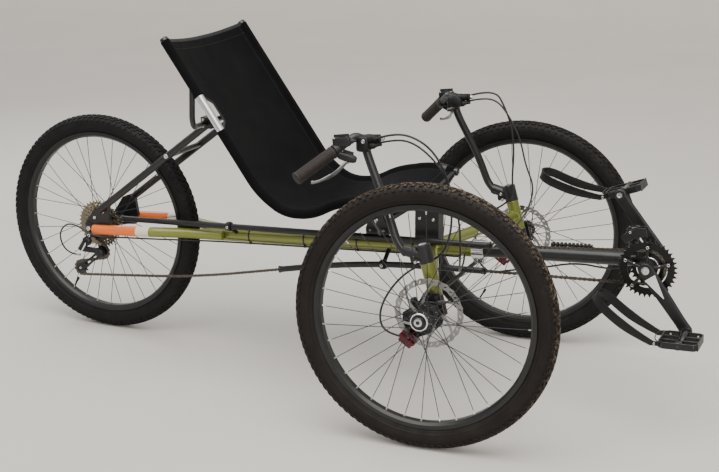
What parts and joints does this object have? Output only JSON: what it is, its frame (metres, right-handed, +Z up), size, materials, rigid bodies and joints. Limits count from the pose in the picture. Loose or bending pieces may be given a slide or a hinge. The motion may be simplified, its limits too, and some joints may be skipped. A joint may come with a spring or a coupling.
{
  "type": "recumbent trike",
  "caption": "Recumbent trike with two steered front wheels, a chain-driven rear wheel, a reclined sling seat and pedals on a boom ahead of the front axle.",
  "frame": {"origin": "on the ground under the middle of the whole vehicle's length and width", "axes": "+X forward, +Y to the rider's left, +Z up"},
  "size_m": [2.1976, 0.9543, 0.9563],
  "materials": {
    "frame_paint": "metallic",
    "black_paint": "satin",
    "bare_alloy": "satin",
    "black_alloy": "satin",
    "spoke_steel": "satin",
    "chain_steel": "satin",
    "tyre_rubber": "matt",
    "black_plastic": "matt",
    "grip_rubber": "matt",
    "seat_fabric": "matt"
  },
  "bodies": {
    "frame": {"main_tube": "frame_paint", "chainstays": "frame_paint", "dropouts": "black_paint", "seat_stays": "black_paint", "boom": "black_paint", "boom_clamp": "bare_alloy", "seat_hoop": "black_paint", "seat_bracket": "black_paint", "seat_sling": "seat_fabric", "front_derailleur": "black_alloy", "rear_derailleur": "black_alloy", "chain_tubes": "black_plastic", "chain_tube_brackets": "black_plastic", "chain": "chain_steel", "rear_gear_cable": "black_plastic", "front_gear_cable": "black_plastic", "boom_rail": "black_plastic", "cross_arm_left": "frame_paint", "seat_rail_left": "bare_alloy", "cross_arm_right": "frame_paint", "seat_rail_right": "bare_alloy"},
    "rear_wheel": {"rear_tyre": "tyre_rubber", "rear_rim": "black_alloy", "rear_spokes": "spoke_steel", "rear_hub": "black_alloy", "rear_cassette": "chain_steel"},
    "steering_left": {"knuckle_left": "black_alloy", "brake_caliper_left": "black_alloy", "handlebar_left": "black_paint", "grip_left": "grip_rubber", "shifter_left": "black_plastic", "brake_lever_left": "black_alloy", "brake_hose_left": "black_plastic", "shift_cable_left": "black_plastic"},
    "front_wheel_left": {"front_tyre_left": "tyre_rubber", "front_rim_left": "black_alloy", "front_spokes_left": "spoke_steel", "front_hub_left": "black_alloy", "front_disc_left": "bare_alloy"},
    "steering_right": {"knuckle_right": "black_alloy", "brake_caliper_right": "black_alloy", "handlebar_right": "black_paint", "grip_right": "grip_rubber", "shifter_right": "black_plastic", "brake_lever_right": "black_alloy", "brake_hose_right": "black_plastic", "shift_cable_right": "black_plastic"},
    "front_wheel_right": {"front_tyre_right": "tyre_rubber", "front_rim_right": "black_alloy", "front_spokes_right": "spoke_steel", "front_hub_right": "black_alloy", "front_disc_right": "bare_alloy"},
    "tie_rod": {"tie_rod": "black_alloy"},
    "crankset": {"crankset": "black_alloy"},
    "pedal_left": {"pedal_left": "black_plastic", "heel_loop_left": "black_plastic"},
    "pedal_right": {"pedal_right": "black_plastic", "heel_loop_right": "black_plastic"}
  },
  "joints": [
    {"name": "rear_wheel_spin", "type": "hinge", "parent": "frame", "child": "rear_wheel", "pos_m": [-0.76084, 0, 0.338], "axis": [0, 1, 0], "continuous": true},
    {"name": "steer_left", "type": "hinge", "parent": "frame", "child": "steering_left", "pos_m": [0.46115, 0.337, 0.41], "axis": [-0.2756, 0, 0.9613], "range_deg": [-29.6, 20.4], "deforming": ["shift_cable_left"]},
    {"name": "steer_right", "type": "hinge", "parent": "frame", "child": "steering_right", "pos_m": [0.46115, -0.337, 0.41], "axis": [-0.2756, 0, 0.9613], "range_deg": [-29.6, 20.4], "deforming": ["shift_cable_right"]},
    {"name": "front_wheel_left_spin", "type": "hinge", "parent": "steering_left", "child": "front_wheel_left", "pos_m": [0.46356, 0.42187, 0.338], "axis": [-0.0771, 0.997, -0.0099], "continuous": true},
    {"name": "front_wheel_right_spin", "type": "hinge", "parent": "steering_right", "child": "front_wheel_right", "pos_m": [0.47682, -0.42366, 0.338], "axis": [-0.0771, 0.9964, -0.0343], "continuous": true},
    {"name": "tie_rod_swing", "type": "hinge", "parent": "steering_left", "child": "tie_rod", "pos_m": [0.4218, 0.33222, 0.33171], "axis": [-0.2756, 0, 0.9613], "range_deg": [-20.4, 29.6]},
    {"name": "crank_spin", "type": "hinge", "parent": "frame", "child": "crankset", "pos_m": [0.93915, 0, 0.4195], "axis": [0, 1, 0], "continuous": true},
    {"name": "pedal_left_spin", "type": "hinge", "parent": "crankset", "child": "pedal_left", "pos_m": [0.82782, 0, 0.56725], "axis": [0, 1, 0], "continuous": true},
    {"name": "pedal_right_spin", "type": "hinge", "parent": "crankset", "child": "pedal_right", "pos_m": [1.05049, 0, 0.27175], "axis": [0, 1, 0], "continuous": true}
  ],
  "couplings": [
    {"joint": "steer_right", "follows": "steer_left", "ratio": 1},
    {"joint": "tie_rod_swing", "follows": "steer_left", "ratio": -1}
  ]
}
